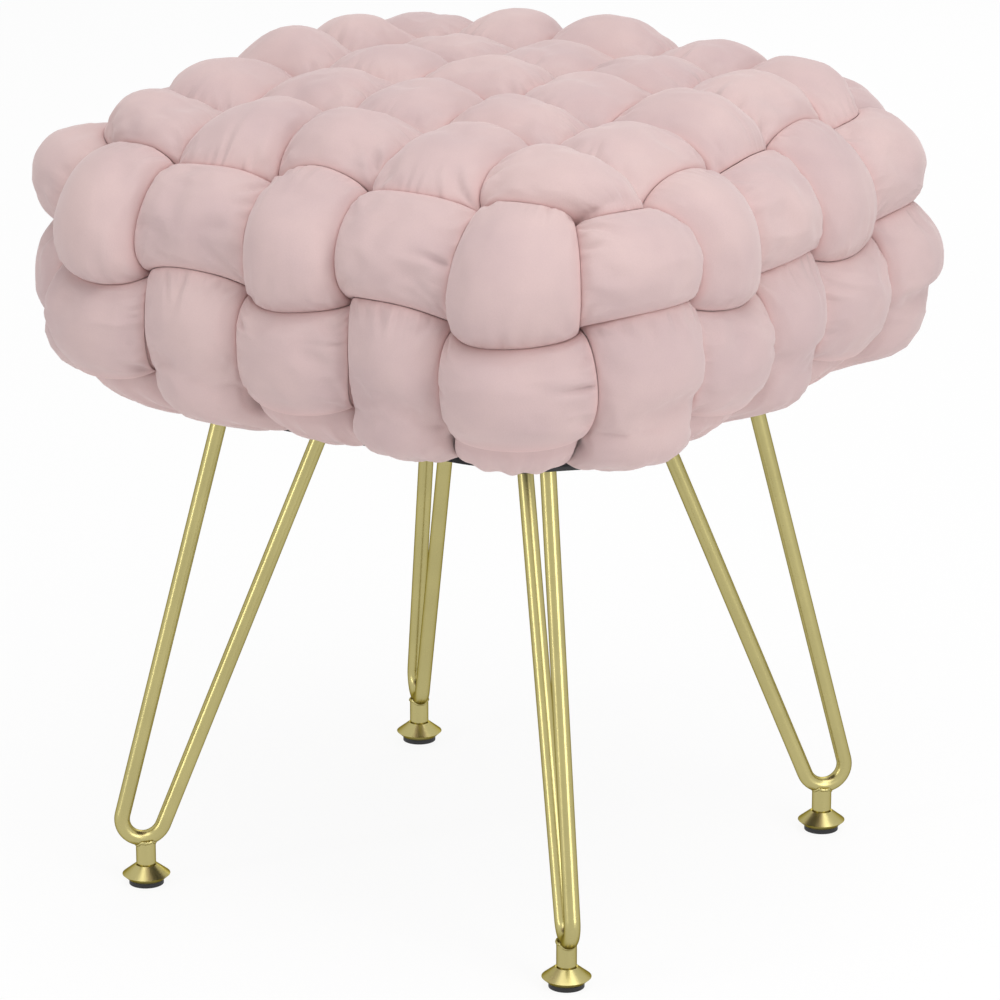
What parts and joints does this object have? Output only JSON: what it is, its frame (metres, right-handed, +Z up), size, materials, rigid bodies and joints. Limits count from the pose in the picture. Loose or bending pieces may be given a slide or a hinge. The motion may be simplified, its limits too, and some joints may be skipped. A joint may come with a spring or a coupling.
{
  "type": "footstool",
  "caption": "Square upholstered footstool: a seat woven from fat stuffed tubes on V-shaped hairpin legs with screw-adjustable glide feet.",
  "frame": {"origin": "on the floor under the middle of the seat", "axes": "+Z up, -Y the front, which is the left of the two sides seen in the picture, +X the right-hand side"},
  "size_m": [0.4498, 0.4498, 0.5016],
  "materials": {
    "velvet": "matt velvet, pale dusty pink",
    "foam": "open-cell upholstery foam",
    "plywood": "raw plywood",
    "black_board": "thin board covered in black cloth",
    "zinc_steel": "zinc-plated steel",
    "gold_steel": "satin gold plated steel",
    "black_steel": "black powder-coated steel",
    "black_rubber": "matt black"
  },
  "bodies": {
    "seat_and_legs": {"weave_across_1": "velvet", "weave_across_2": "velvet", "weave_across_3": "velvet", "weave_across_4": "velvet", "weave_across_5": "velvet", "weave_along_1": "velvet", "weave_along_2": "velvet", "weave_along_3": "velvet", "weave_along_4": "velvet", "weave_along_5": "velvet", "weave_ring_upper": "velvet", "weave_ring_lower": "velvet", "foam_core": "foam", "seat_board": "plywood", "base_panel": "black_board", "insert_nuts": "zinc_steel", "leg_plate_screws": "zinc_steel", "leg_plate_front_right": "black_steel", "leg_rod_front_right": "gold_steel", "leg_post_front_right": "gold_steel", "leg_plate_back_right": "black_steel", "leg_rod_back_right": "gold_steel", "leg_post_back_right": "gold_steel", "leg_plate_back_left": "black_steel", "leg_rod_back_left": "gold_steel", "leg_post_back_left": "gold_steel", "leg_plate_front_left": "black_steel", "leg_rod_front_left": "gold_steel", "leg_post_front_left": "gold_steel"},
    "foot_pad_front_right": {"foot_pad_front_right": "black_rubber"},
    "foot_disc_front_right": {"foot_disc_front_right": "gold_steel"},
    "foot_pad_back_right": {"foot_pad_back_right": "black_rubber"},
    "foot_disc_back_right": {"foot_disc_back_right": "gold_steel"},
    "foot_pad_back_left": {"foot_pad_back_left": "black_rubber"},
    "foot_disc_back_left": {"foot_disc_back_left": "gold_steel"},
    "foot_pad_front_left": {"foot_pad_front_left": "black_rubber"},
    "foot_disc_front_left": {"foot_disc_front_left": "gold_steel"}
  },
  "joints": [
    {"name": "foot_travel_front_right", "type": "slide", "parent": "seat_and_legs", "child": "foot_pad_front_right", "axis": [0, 0, 1], "range_m": [-0.005, 0]},
    {"name": "foot_screw_front_right", "type": "hinge", "parent": "foot_pad_front_right", "child": "foot_disc_front_right", "pos_m": [0.15, -0.15, 0.01], "axis": [0, 0, 1], "range_deg": [-1440, 0]},
    {"name": "foot_travel_back_right", "type": "slide", "parent": "seat_and_legs", "child": "foot_pad_back_right", "axis": [0, 0, 1], "range_m": [-0.005, 0]},
    {"name": "foot_screw_back_right", "type": "hinge", "parent": "foot_pad_back_right", "child": "foot_disc_back_right", "pos_m": [0.15, 0.15, 0.01], "axis": [0, 0, 1], "range_deg": [-1440, 0]},
    {"name": "foot_travel_back_left", "type": "slide", "parent": "seat_and_legs", "child": "foot_pad_back_left", "axis": [0, 0, 1], "range_m": [-0.005, 0]},
    {"name": "foot_screw_back_left", "type": "hinge", "parent": "foot_pad_back_left", "child": "foot_disc_back_left", "pos_m": [-0.15, 0.15, 0.01], "axis": [0, 0, 1], "range_deg": [-1440, 0]},
    {"name": "foot_travel_front_left", "type": "slide", "parent": "seat_and_legs", "child": "foot_pad_front_left", "axis": [0, 0, 1], "range_m": [-0.005, 0]},
    {"name": "foot_screw_front_left", "type": "hinge", "parent": "foot_pad_front_left", "child": "foot_disc_front_left", "pos_m": [-0.15, -0.15, 0.01], "axis": [0, 0, 1], "range_deg": [-1440, 0]}
  ],
  "couplings": [
    {"joint": "foot_travel_front_right", "follows": "foot_screw_front_right", "m_per_rad": 0.00019894},
    {"joint": "foot_travel_back_right", "follows": "foot_screw_back_right", "m_per_rad": 0.00019894},
    {"joint": "foot_travel_back_left", "follows": "foot_screw_back_left", "m_per_rad": 0.00019894},
    {"joint": "foot_travel_front_left", "follows": "foot_screw_front_left", "m_per_rad": 0.00019894}
  ]
}
